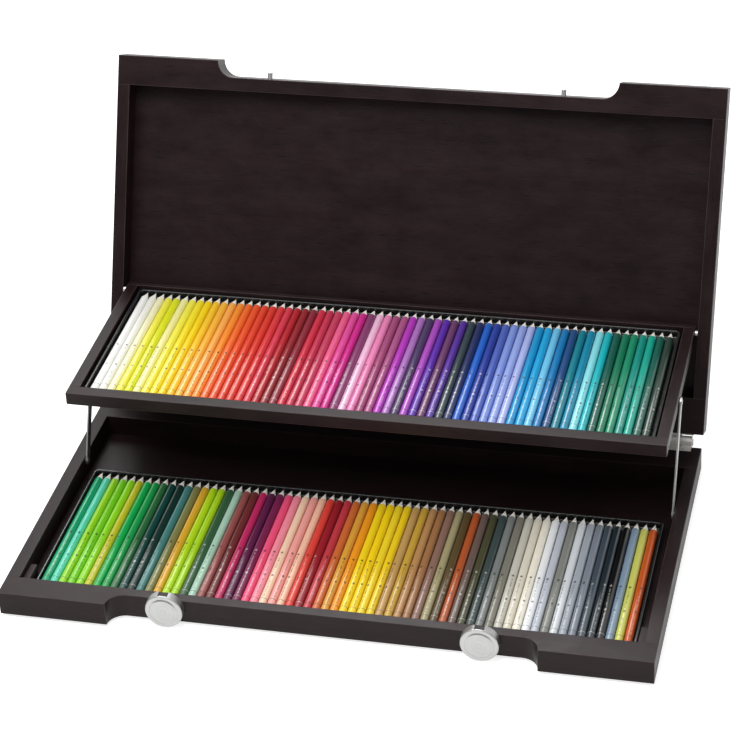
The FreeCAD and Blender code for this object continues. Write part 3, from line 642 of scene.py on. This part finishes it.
def stepped_front(lo, hi, inner_x):
    """Outline of a front rail, from above: corner blocks, hollow quarter rounds and the set-back middle."""
    wood = settings("wood")
    recess = wood.recess
    step = hi.x - wood.corner
    points = [(-hi.x, lo.y)] + arc_points(recess - step, lo.y, recess, 18, 180, 90)
    points += [(-x, y) for x, y in reversed(points)]
    return points + [(hi.x, hi.y), (inner_x, hi.y), (-inner_x, hi.y), (-hi.x, hi.y)]


def board(node, mesh, seams, turn, first, number):
    """Finishes one board: rounds it, turns it to its place and stores its grain."""
    wood = settings("wood")
    mesh = rounded(mesh, node, wood.edge, 3, wood.seam / wood.edge, seams)
    mesh.transform(turn.inverted())
    # Each board is sawn from another place in the grain.
    write_grain(mesh, turn, first, (number * 0.713, number * 0.291, number * 0.173))
    put(node + "_board", mesh, node)


def frame_boards(prefix, panel, front_shape, turn, box_of, from_above, first_number):
    """The four rails of one frame and its panel, which is let in from above or from below."""
    rails = {part: "%s_%s_rail" % (prefix, part) for part in ("front", "rear", "left", "right")}
    boxes = {part: box_of(name) for part, name in rails.items()}
    panel_box = box_of(panel)
    right_lo, right_hi = boxes["right"]
    up = Vector((0.0, 0.0, PAST))
    rabbet = (panel_box[0], panel_box[1] + up) if from_above else (panel_box[0] - up, panel_box[1])
    seams = [panel_box]
    for y in (boxes["front"][1].y, boxes["rear"][0].y):
        for low, high in both_sides(right_lo.x, right_hi.x):
            seams.append((Vector((low, y, right_lo.z)), Vector((high, y, right_hi.z))))
    for number, (part, name) in enumerate(rails.items()):
        lo, hi = boxes[part]
        bm = bmesh.new()
        if part == "front":
            prism_into(bm, front_shape(lo, hi, right_lo.x), lo.z, hi.z)
        elif part == "rear":
            ahead = [(x, lo.y) for x in (lo.x, -right_lo.x, right_lo.x, hi.x)]
            prism_into(bm, ahead + [(hi.x, hi.y), (lo.x, hi.y)], lo.z, hi.z)
        else:
            box_into(bm, lo, hi)
        knives = [rabbet]
        if name == "base_rear_rail":
            knives += hinge_pockets(hi)
        mesh = cut(mesh_from(bm, name), name, knives)
        board(name, mesh, seams + knives[1:], turn, "X" if part in ("front", "rear") else "Y",
              first_number + number)
    bm = bmesh.new()
    box_into(bm, *panel_box)
    board(panel, mesh_from(bm, panel), [panel_box], turn, "X", first_number + 4)


def hinge_pockets(hi):
    """Shallow pockets in the top rear edge of the base for the hinge leaves."""
    wood = settings("wood")
    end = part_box("hinge_base_leaves")[1].x
    pockets = []
    gap = 0.1 * MM
    for low, high in both_sides(end - wood.leaf_length, end):
        pockets.append((Vector((low - gap, hi.y - wood.leaf_width - gap, hi.z - wood.leaf_depth)),
                        Vector((high + gap, hi.y + PAST, hi.z + PAST))))
    return pockets


def square_front(lo, hi, inner_x):
    return [(lo.x, lo.y), (hi.x, lo.y), (hi.x, hi.y), (inner_x, hi.y), (-inner_x, hi.y), (lo.x, hi.y)]


class CaseOperator:
    """What the operators share: each can be undone."""

    bl_options = {"REGISTER", "UNDO"}


class PENCILCASE_OT_wood(CaseOperator, bpy.types.Operator):
    """Builds the rails and panels of the base, the lid and the tray"""

    bl_idname = "pencilcase.wood"
    bl_label = "Rails and panels"

    def execute(self, context):
        wood = settings("wood")
        frame_boards("base", "base_bottom_panel", stepped_front, STILL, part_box, False, 1)
        frame_boards("lid", "lid_panel", stepped_front, TO_SHUT, shut_box, True, 6)
        frame_boards("tray", "tray_bottom_panel", square_front, STILL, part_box, False, 11)
        lo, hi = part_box("tray_rests")
        bm = bmesh.new()
        for low, high in both_sides(hi.x - wood.rest_width, hi.x):
            box_into(bm, (low, lo.y, lo.z), (high, hi.y, hi.z))
        board("tray_rests", mesh_from(bm, "tray_rests"), [], STILL, "Y", 16)
        return {"FINISHED"}


# Tins

def tin_profile(depth):
    """A section through a tin's wall, as (inset from the outside, place below the rim's top)."""
    tin = settings("tin")
    bend, outer_bend = tin.floor_bend, tin.floor_bend + tin.wall
    roll = tin.rim_height / 2
    outside = tin.rim - tin.wall
    profile = arc_points(tin.rim + bend, tin.wall - depth + bend, bend, 3, -90, -180)
    profile.append((tin.rim, -roll))
    steps, fullness = 8, 0.7
    for step in range(1, steps + 1):
        angle = math.pi * step / steps
        profile.append(((1 + math.cos(angle)) / 2 * tin.rim, -roll + roll * math.sin(angle) ** fullness))
    # The roll tucks in below and runs back to the wall.
    profile += [(0.15 * MM, -tin.rim_height * 0.85), (0.5 * MM, -tin.rim_height), (outside, -tin.rim_height)]
    return profile + arc_points(outside + outer_bend, outer_bend - depth, outer_bend, 2, -180, -90)


def rounded_loop(bm, x, y0, y1, z, corner):
    """A loop round a rectangle, given by the centres of its round corners, counter-clockwise from above."""
    points = []
    for number, place in enumerate(((x, y1), (-x, y1), (-x, y0), (x, y0))):
        points += arc_points(*place, corner, 8, number * 90, number * 90 + 90)
    return [bm.verts.new((*point, z)) for point in points]


def pressed_tin(node, shift):
    """Builds one tin, its loops running from the middle of its floor up over the rim and down outside."""
    tin = settings("tin")
    lo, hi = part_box(node)
    bm = bmesh.new()
    loops = []
    least = 0.6 * MM
    for inset, below in tin_profile(hi.z - lo.z):
        corner = max(tin.corner - inset, least)
        centre = inset + corner
        loops.append(rounded_loop(bm, hi.x - centre, lo.y + centre, hi.y - centre, hi.z + below, corner))
    for low, high in zip(loops, loops[1:]):
        for place in range(len(low)):
            after = (place + 1) % len(low)
            bm.faces.new((low[place], high[place], high[after], low[after]))
    bm.faces.new(loops[0])
    bm.faces.new(loops[-1][::-1])
    bmesh.ops.recalc_face_normals(bm, faces=bm.faces)
    for face in bm.faces:
        face.smooth = len(face.verts) == 4
    mesh = mesh_from(bm, node)
    write_grain(mesh, STILL, "X", (shift, 0.0, 0.0))
    # All of the rim counts as an edge, and takes the rim's painted highlight colour.
    rim = hi.z - tin.rim_height * 1.01
    mesh.attributes["edge"].data.foreach_set("value", [float(face.center.z > rim) for face in mesh.polygons])
    put(node + "_pressed", mesh, node)


class PENCILCASE_OT_tins(CaseOperator, bpy.types.Operator):
    """Builds the two pressed tins with their rolled rims"""

    bl_idname = "pencilcase.tins"
    bl_label = "Tins"

    def execute(self, context):
        pressed_tin("lower_tin", 0.0)
        pressed_tin("upper_tin", 0.37)
        return {"FINISHED"}


# Pencils

def pencil_master():
    """One pencil along Y, with its flat end at the origin, unwrapped round and along."""
    pencil = settings("pencil")
    radius = pencil.diameter / 2
    bm = bmesh.new()
    uv = bm.loops.layers.uv.new("UVMap")
    length = pencil.length
    shoulder = length - pencil.cone
    # The lacquer is rounded at the flat end, and stands a little over the cone at the shoulder.
    profile = [(0.0, 0.0), (radius - 0.5 * MM, 0.0), (radius - 0.12 * MM, 0.14 * MM), (radius, 0.5 * MM),
               (radius, shoulder), (radius - 0.25 * MM, shoulder + 0.12 * MM),
               (pencil.lead_diameter / 2, length - pencil.lead), (pencil.point / 2, length - 0.1 * MM),
               (0.0, length)]
    lathe_into(bm, profile, pencil.sides, uv)
    bmesh.ops.recalc_face_normals(bm, faces=bm.faces)
    smooth(bm)
    sharp = math.radians(35)
    for edge in bm.edges:
        edge.smooth = edge.calc_face_angle(0.0) <= sharp
    return new_object("pencil_master", mesh_from(bm, "pencil_master"))


# Repeats

def repeat_tree(name, *inputs):
    """A tree for repeats on points, with its named sockets and what they give inside the tree."""
    tree = bpy.data.node_groups.new(name, "GeometryNodeTree")
    sockets = {}
    common = (("Points", "Geometry"), ("Shape", "Object"), ("Seed", "Int"), ("Finish", "Material"))
    for label, kind in common + inputs:
        sockets[label] = tree.interface.new_socket(label, in_out="INPUT", socket_type="NodeSocket" + kind)
    tree.interface.new_socket("Result", in_out="OUTPUT", socket_type="NodeSocketGeometry")
    return tree, sockets, add(tree, "NodeGroupInput").outputs


def plant(tree, given, points, turn):
    """Puts the shape on every point as a plain mesh in its finish, and ends the tree."""
    shape = add(tree, "GeometryNodeObjectInfo", {"Object": given["Shape"]}).outputs["Geometry"]
    rows = add(tree, "GeometryNodeInstanceOnPoints", {"Points": points, "Instance": shape, "Rotation": turn})
    real = add(tree, "GeometryNodeRealizeInstances", {"Geometry": rows})
    painted = add(tree, "GeometryNodeSetMaterial", {"Geometry": real, "Material": given["Finish"]})
    add(tree, "NodeGroupOutput", {"Result": painted})


def repeated(node, points, tree, sockets, **values):
    """The tree's repeats on the points, as a plain mesh in the node's finish."""
    work = new_object(node + "_work", points)
    rows = work.modifiers.new("rows", "NODES")
    rows.node_group = tree
    for label, value in values.items():
        rows[sockets[label].identifier] = value
    rows[sockets["Finish"].identifier] = finish(SLOT_OF[node])
    return settled(work, node)


def pencil_row_tree():
    """Lays one pencil on every point, rolled and slipped a little at random."""
    tree, sockets, given = repeat_tree("pencil_row", ("Roll", "Float"), ("Slip", "Float"))

    def chance(label, **more):
        """A random value between plus and minus the setting, as a shift along Y."""
        limits = {2: maths(tree, "MULTIPLY", given[label], -1.0), 3: given[label]}
        drawn = add(tree, "FunctionNodeRandomValue", {**limits, "Seed": given["Seed"], **more})
        return add(tree, "ShaderNodeCombineXYZ", {1: drawn.outputs[1]})

    turn = add(tree, "FunctionNodeEulerToRotation", {0: chance("Roll")})
    offset = chance("Slip", ID=add(tree, "GeometryNodeInputIndex"))
    moved = add(tree, "GeometryNodeSetPosition", {"Geometry": given["Points"], "Offset": offset})
    plant(tree, given, moved, turn)
    return tree, sockets


class PENCILCASE_OT_pencils(CaseOperator, bpy.types.Operator):
    """Lays the two rows of lacquered pencils, one piece for each family of colours"""

    bl_idname = "pencilcase.pencils"
    bl_label = "Pencils"

    def execute(self, context):
        pencil = settings("pencil")
        master = pencil_master()
        tree, sockets = pencil_row_tree()
        radius = pencil.diameter / 2
        for row, families in (("lower", LOWER_ROW), ("upper", UPPER_ROW)):
            for order, (family, lacquers) in enumerate(families.items()):
                node = "%s_pencils_%s" % (row, family)
                codes = lacquers.split()[1::2]
                lo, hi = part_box(node)
                step = (hi.x - lo.x - pencil.diameter) / (len(codes) - 1)
                bm = bmesh.new()
                for number in range(len(codes)):
                    bm.verts.new((lo.x + radius + number * step, lo.y, (lo.z + hi.z) / 2))
                points = mesh_from(bm, node + "_points")
                draw = random.Random(order * 31 + len(codes))
                store(points, "lacquer", [linear(code) for code in codes], "FLOAT_COLOR")
                store(points, "own", [draw.random() for code in codes], "FLOAT")
                mesh = repeated(node, points, tree, sockets, Shape=master, Roll=pencil.roll, Slip=pencil.slip,
                                Seed=order + (10 if row == "upper" else 0))
                put(node + "_row", mesh, node)
        discard(master)
        return {"FINISHED"}


# Metal fittings

def fitting(node, width, turn=STILL, first="X"):
    """A CAD node, welded and with its flat faces made whole, its small edges rounded and shaded smooth."""
    bm = bmesh.new()
    bm.from_mesh(NODES[node].data)
    bmesh.ops.remove_doubles(bm, verts=bm.verts, dist=TOUCH / 5)
    flat, sharp = math.radians(0.3), math.radians(40)
    bmesh.ops.dissolve_limit(bm, angle_limit=flat, verts=bm.verts, edges=bm.edges)
    smooth(bm)
    mesh = bevelled(mesh_from(bm, node), node, width, 2, limit_method="ANGLE", angle_limit=sharp)
    write_grain(mesh, turn, first)
    if SLOT_OF[node] == "turned_aluminium":
        lo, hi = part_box(node)
        height = (lo.z + hi.z) / 2
        places = [(y, z - height, x - math.copysign(hi.x, x)) for x, y, z in (v.co for v in mesh.vertices)]
        store(mesh, "turning", places)
    put(node + "_fitted", mesh, node)


def turned_knob(node):
    """Turns one knob on the lathe and cuts the notch in its cup."""
    sizes = settings("metal")
    lo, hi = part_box(node)
    axis = Vector(((lo.x + hi.x) / 2, 0.0, (lo.z + hi.z) / 2))
    radius = (hi.x - lo.x) / 2
    front, rear = lo.y, hi.y
    disc, around, cup, hub = sizes.disc, sizes.knob_round, sizes.knob_cup, sizes.knob_hub
    rim = front + sizes.disc_step
    inner = front + sizes.knob_face
    profile = [(0.0, front), (disc, front), (disc + sizes.disc_slope, rim)]
    profile += arc_points(radius - around, rim + around, around, 6, -90, 0)
    profile += [(radius, rear), (cup, rear), (cup, inner), (hub, inner), (hub, rear), (0.0, rear)]
    bm = bmesh.new()
    lathe_into(bm, profile, 96)
    bmesh.ops.translate(bm, verts=bm.verts, vec=axis)
    bmesh.ops.recalc_face_normals(bm, faces=bm.faces)
    half, web = sizes.notch / 2, 0.4 * MM
    notch = ((axis.x - half, inner, axis.z + hub + web), (axis.x + half, rear + PAST, axis.z + radius + PAST))
    mesh = cut(mesh_from(bm, node), node, [notch])
    mesh = rounded(mesh, node, sizes.edge, 2)
    write_grain(mesh)
    unrolled = []
    for x, y, z in (vertex.co - axis for vertex in mesh.vertices):
        unrolled.append((math.atan2(z, x) * radius, math.hypot(x, z), y))
    store(mesh, "turning", unrolled)
    put(node + "_turned", mesh, node)


class PENCILCASE_OT_knobs(CaseOperator, bpy.types.Operator):
    """Turns the two knobs"""

    bl_idname = "pencilcase.knobs"
    bl_label = "Turning knobs"

    def execute(self, context):
        turned_knob("knob_left")
        turned_knob("knob_right")
        return {"FINISHED"}


class PENCILCASE_OT_fittings(CaseOperator, bpy.types.Operator):
    """Dresses the hinges, pins, arms, pegs, spindles, clips and feet"""

    bl_idname = "pencilcase.fittings"
    bl_label = "Hinges, arms, pins and feet"

    def execute(self, context):
        edge = settings("metal").edge
        # The arms lean like the line from the lid's hinge to the tray's pivot.
        foot, pivot = (Vector(JOINTS[name]["pos_m"]) for name in ("arm_right_pivot", "tray_pivot"))
        lean = math.atan2(pivot.z - HINGE.z, pivot.y - HINGE.y)
        down_arm = Matrix.Rotation(-lean, 4, "X") @ Matrix.Translation(-foot)
        for side in ("left", "right"):
            fitting("lift_arm_" + side, edge * 2, down_arm, "Y")
            fitting("knob_spindle_" + side, edge, STILL, "Y")
            fitting("knob_clip_" + side, edge)
        for node in ("hinge_base_leaves", "hinge_lid_leaves", "hinge_pins", "arm_pivot_screws",
                     "arm_top_pins", "tray_pivot_pins"):
            fitting(node, edge)
        fitting("lid_pegs", edge, TO_SHUT, "Y")
        fitting("knob_bushes", edge)
        fitting("feet", edge * 2)
        return {"FINISHED"}


def screw_master():
    """A countersunk screw along Z, its head flush with the origin, with a cross recess."""
    sizes = settings("metal")
    bm = bmesh.new()
    tip = 1.5 * MM
    lathe_into(bm, [(0.0, 0.0), (sizes.screw_head, 0.0), (sizes.screw_shank, -sizes.screw_taper),
                    (sizes.screw_shank, tip - sizes.screw_length), (0.0, -sizes.screw_length)], 16)
    bmesh.ops.rotate(bm, verts=bm.verts, matrix=Matrix.Rotation(math.pi / 2, 3, "X"))
    bmesh.ops.recalc_face_normals(bm, faces=bm.faces)
    arm, half, deep = sizes.screw_head * 0.62, sizes.screw_head * 0.15, sizes.screw_taper * 0.8
    mesh = mesh_from(bm, "screw_master")
    for x, y in ((arm, half), (half, arm)):
        mesh = cut(mesh, "screw_master", [((-x, -y, -deep), (x, y, PAST))])
    return new_object("screw_master", mesh)


def screw_tree():
    """Sets one screw on every point, along one facing and turned at random."""
    tree, sockets, given = repeat_tree("hinge_screws", ("Facing", "Vector"))
    most_turn = 3.1
    spin = add(tree, "FunctionNodeRandomValue", {3: most_turn, "Seed": given["Seed"]})
    facing = add(tree, "FunctionNodeAlignRotationToVector", {"Vector": given["Facing"]}, axis="Z")
    turn = add(tree, "ShaderNodeCombineXYZ", {2: spin.outputs[1]})
    turn = add(tree, "FunctionNodeEulerToRotation", {0: turn})
    both = add(tree, "FunctionNodeRotateRotation", {0: facing, 1: turn}, rotation_space="LOCAL")
    plant(tree, given, given["Points"], both)
    return tree, sockets


def islands(node):
    """The points of each separate solid of a CAD node, in an order that is the same each run."""
    bm = bmesh.new()
    bm.from_mesh(NODES[node].data)
    bmesh.ops.remove_doubles(bm, verts=bm.verts, dist=TOUCH / 5)
    # The set is only asked what it holds, because its order changes from run to run.
    seen = set()
    solids = []
    for first in bm.verts:
        if first in seen:
            continue
        seen.add(first)
        heap = [first]
        solids.append([])
        while heap:
            vertex = heap.pop()
            solids[-1].append(vertex.co.copy())
            for other in (edge.other_vert(vertex) for edge in vertex.link_edges):
                if other not in seen:
                    seen.add(other)
                    heap.append(other)
    bm.free()
    return solids


class PENCILCASE_OT_screws(CaseOperator, bpy.types.Operator):
    """Sets the twelve countersunk screws of the hinges"""

    bl_idname = "pencilcase.screws"
    bl_label = "Hinge screws"

    def execute(self, context):
        master = screw_master()
        tree, sockets = screw_tree()
        backward = TO_OPEN.to_3x3() @ Vector((0.0, 1.0, 0.0))
        upward = Vector((0.0, 0.0, 1.0))
        screws = (("hinge_base_screws", upward), ("hinge_lid_screws", backward))
        for seed, (node, facing) in enumerate(screws, 3):
            bm = bmesh.new()
            for points in islands(node):
                top = max(point.dot(facing) for point in points)
                rim = [point for point in points if point.dot(facing) > top - TOUCH]
                bm.verts.new(sum(rim, Vector()) / len(rim))
            mesh = repeated(node, mesh_from(bm, node + "_points"), tree, sockets, Shape=master, Facing=facing,
                            Seed=seed)
            write_grain(mesh)
            put(node + "_driven", mesh, node)
        discard(master)
        return {"FINISHED"}


# Floor, light and camera

def softbox(name, place, aim, width, height, power):
    data = bpy.data.lights.new(name, "AREA")
    data.shape = "RECTANGLE"
    data.size = width
    data.size_y = height
    data.energy = power
    lamp = new_object(name, data)
    lamp.location = place
    lamp.rotation_euler = (Vector(aim) - Vector(place)).to_track_quat("-Z", "Y").to_euler()


def seen_directly(tree, rays):
    """One where a ray comes from the camera, a reflection or a glass, else zero."""
    first = maths(tree, "MAXIMUM", rays["Is Camera Ray"], rays["Is Glossy Ray"])
    return maths(tree, "MAXIMUM", first, rays["Is Transmission Ray"])


def lay_floor(stage):
    """A wide matt floor, faintly mottled like paper."""
    bm = bmesh.new()
    bmesh.ops.create_grid(bm, x_segments=1, y_segments=1, size=12.0)
    floor = new_object("floor", mesh_from(bm, "floor"))
    floor.data.materials.append(bpy.data.materials.new("pale_matt_floor"))
    tree = empty_tree(floor.data.materials[0])
    paper = add(tree, "ShaderNodeTexNoise", {"Scale": 40.0, "Detail": 3.0})
    body = shaded(tree, stage.floor, paper, 0.985, 1.0, 0.0, 1.0)
    matt = add(tree, "ShaderNodeBsdfDiffuse", {"Color": body})
    # It glows where it is seen, and more for the camera, so that it is white but for the shadows on it.
    glow_seen, glow_more = 0.45, 0.3
    rays = add(tree, "ShaderNodeLightPath").outputs
    level = maths(tree, "MULTIPLY", seen_directly(tree, rays), glow_seen)
    level = maths(tree, "MULTIPLY_ADD", rays["Is Camera Ray"], glow_more, level)
    glow = add(tree, "ShaderNodeEmission", {"Strength": level})
    both = add(tree, "ShaderNodeAddShader", {0: matt, 1: glow})
    add(tree, "ShaderNodeOutputMaterial", {"Surface": both})


def paint_room(stage):
    """White all round for the camera, and a low even light on everything.

    Polished surfaces show the white sweep behind and over the case, and between that and the floor a dim band
    of the room in front.
    """
    bpy.context.scene.world = bpy.data.worlds.new("white_room")
    tree = empty_tree(bpy.context.scene.world)
    facing = add(tree, "ShaderNodeTexCoord").outputs["Generated"]
    facing = add(tree, "ShaderNodeSeparateXYZ", {0: facing}).outputs
    behind = ranged(tree, facing["Y"], stage.dim, 1.0, -0.2, 0.3)
    band = 0.34
    off_band = maths(tree, "ABSOLUTE", maths(tree, "SUBTRACT", facing["Z"], band))
    shown = maths(tree, "MAXIMUM", behind, ranged(tree, off_band, 0.0, 1.0, 0.18, 0.34))
    rays = add(tree, "ShaderNodeLightPath").outputs
    level = add(tree, "ShaderNodeMix", {0: seen_directly(tree, rays), "A": stage.sky, "B": shown},
                data_type="FLOAT")
    level = maths(tree, "MAXIMUM", level, rays["Is Camera Ray"])
    room = add(tree, "ShaderNodeBackground", {"Color": (1.0, 1.0, 1.0, 1.0), "Strength": level})
    add(tree, "ShaderNodeOutputWorld", {"Surface": room})


def set_camera():
    """The camera fitted to the photograph, a square picture."""
    yaw, pitch, roll = (math.radians(angle) for angle in (16.339, 33.786, -4.18))
    data = bpy.data.cameras.new("camera")
    data.lens = 131.73
    data.sensor_width = 36.0
    data.shift_x = 0.0924
    data.shift_y = 0.0842
    data.clip_end = 100.0
    camera = new_object("camera", data)
    turn = Matrix.Rotation(yaw, 4, "Z") @ Matrix.Rotation(math.pi / 2 - pitch, 4, "X")
    place = Matrix.Translation((0.5113, -1.9917774, 1.44936))
    camera.matrix_world = place @ turn @ Matrix.Rotation(roll, 4, "Z")
    bpy.context.scene.camera = camera


class PENCILCASE_OT_stage(CaseOperator, bpy.types.Operator):
    """Sets up the pale floor, the soft lamps and the camera"""

    bl_idname = "pencilcase.stage"
    bl_label = "Floor, light and camera"

    def execute(self, context):
        stage = settings("stage")
        lay_floor(stage)
        paint_room(stage)
        softbox("key_softbox", (-0.5, -0.8, 2.1), (0.0, 0.0, 0.1), 1.6, 1.3, stage.key)
        softbox("back_softbox", (-0.45, 1.45, 1.75), (-0.1, 0.0, 0.1), 0.9, 0.8, stage.back)
        set_camera()
        context.scene.view_settings.view_transform = "Standard"
        return {"FINISHED"}


OPERATORS = (PENCILCASE_OT_wood, PENCILCASE_OT_tins, PENCILCASE_OT_pencils, PENCILCASE_OT_knobs,
             PENCILCASE_OT_fittings, PENCILCASE_OT_screws, PENCILCASE_OT_stage)


class PENCILCASE_PT_panel(bpy.types.Panel):
    """Lists the case's settings and the operators that build it"""

    bl_idname = "PENCILCASE_PT_panel"
    bl_label = "Pencil Case"
    bl_space_type = "VIEW_3D"
    bl_region_type = "UI"
    bl_category = "Pencil Case"

    def draw(self, context):
        for operator in OPERATORS:
            self.layout.operator(operator.bl_idname, text=operator.bl_label)
        for name, group in GROUPS.items():
            column = self.layout.box().column()
            column.label(text=group.__doc__)
            for field in group.__annotations__:
                column.prop(getattr(context.scene.pencil_case, name), field)


CLASSES = (*GROUPS.values(), CaseSettings, *OPERATORS, PENCILCASE_PT_panel)


def register():
    for cls in CLASSES:
        bpy.utils.register_class(cls)
    bpy.types.Scene.pencil_case = PointerProperty(type=CaseSettings)


def unregister():
    del bpy.types.Scene.pencil_case
    for cls in reversed(CLASSES):
        bpy.utils.unregister_class(cls)


def main():
    register()
    for operator in OPERATORS:
        group, name = operator.bl_idname.split(".")
        if getattr(getattr(bpy.ops, group), name)() != {"FINISHED"}:
            raise RuntimeError("%s did not finish" % operator.bl_label)
    bpy.context.view_layer.update()


if __name__ == "__main__":
    main()
